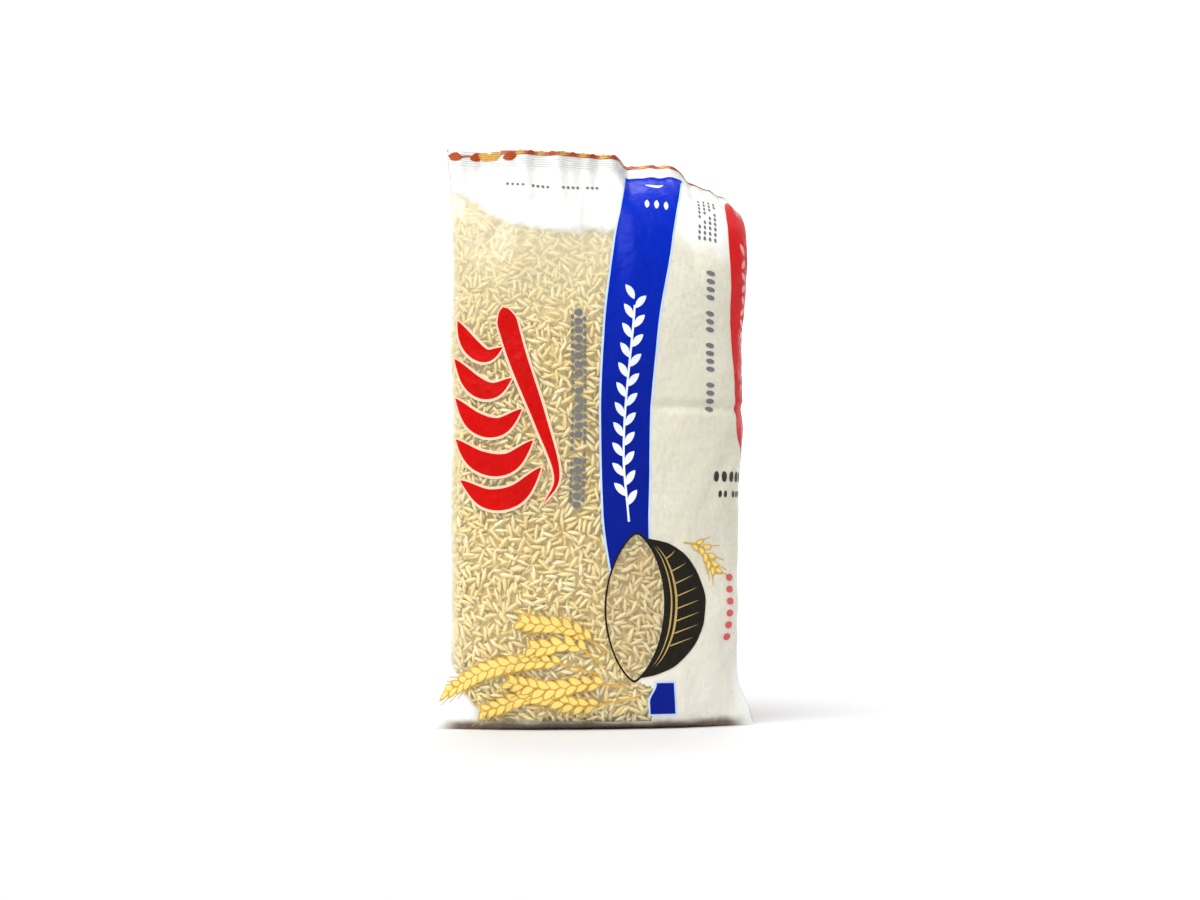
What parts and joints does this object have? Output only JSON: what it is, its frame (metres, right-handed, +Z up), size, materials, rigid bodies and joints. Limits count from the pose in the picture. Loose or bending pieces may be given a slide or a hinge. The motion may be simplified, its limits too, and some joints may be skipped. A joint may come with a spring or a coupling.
{
  "type": "bag of rice",
  "caption": "Sealed pillow pack of white rice that stands upright, with a clear front window, printed film, a fin seal along its top and pinched corners at its base.",
  "frame": {"origin": "on the floor, under the middle of the bag's box", "axes": "+Z up along the bag's length, front with the window towards -Y, +X to the right as the front is looked at"},
  "size_m": [0.1596, 0.0538, 0.283],
  "materials": {
    "printed_film": "glossy film, white with blue, red and gold print",
    "clear_film": "clear glossy film",
    "rice": "polished long-grain rice"
  },
  "bodies": {
    "root": {"rice_bag": "printed_film"}
  },
  "joints": []
}
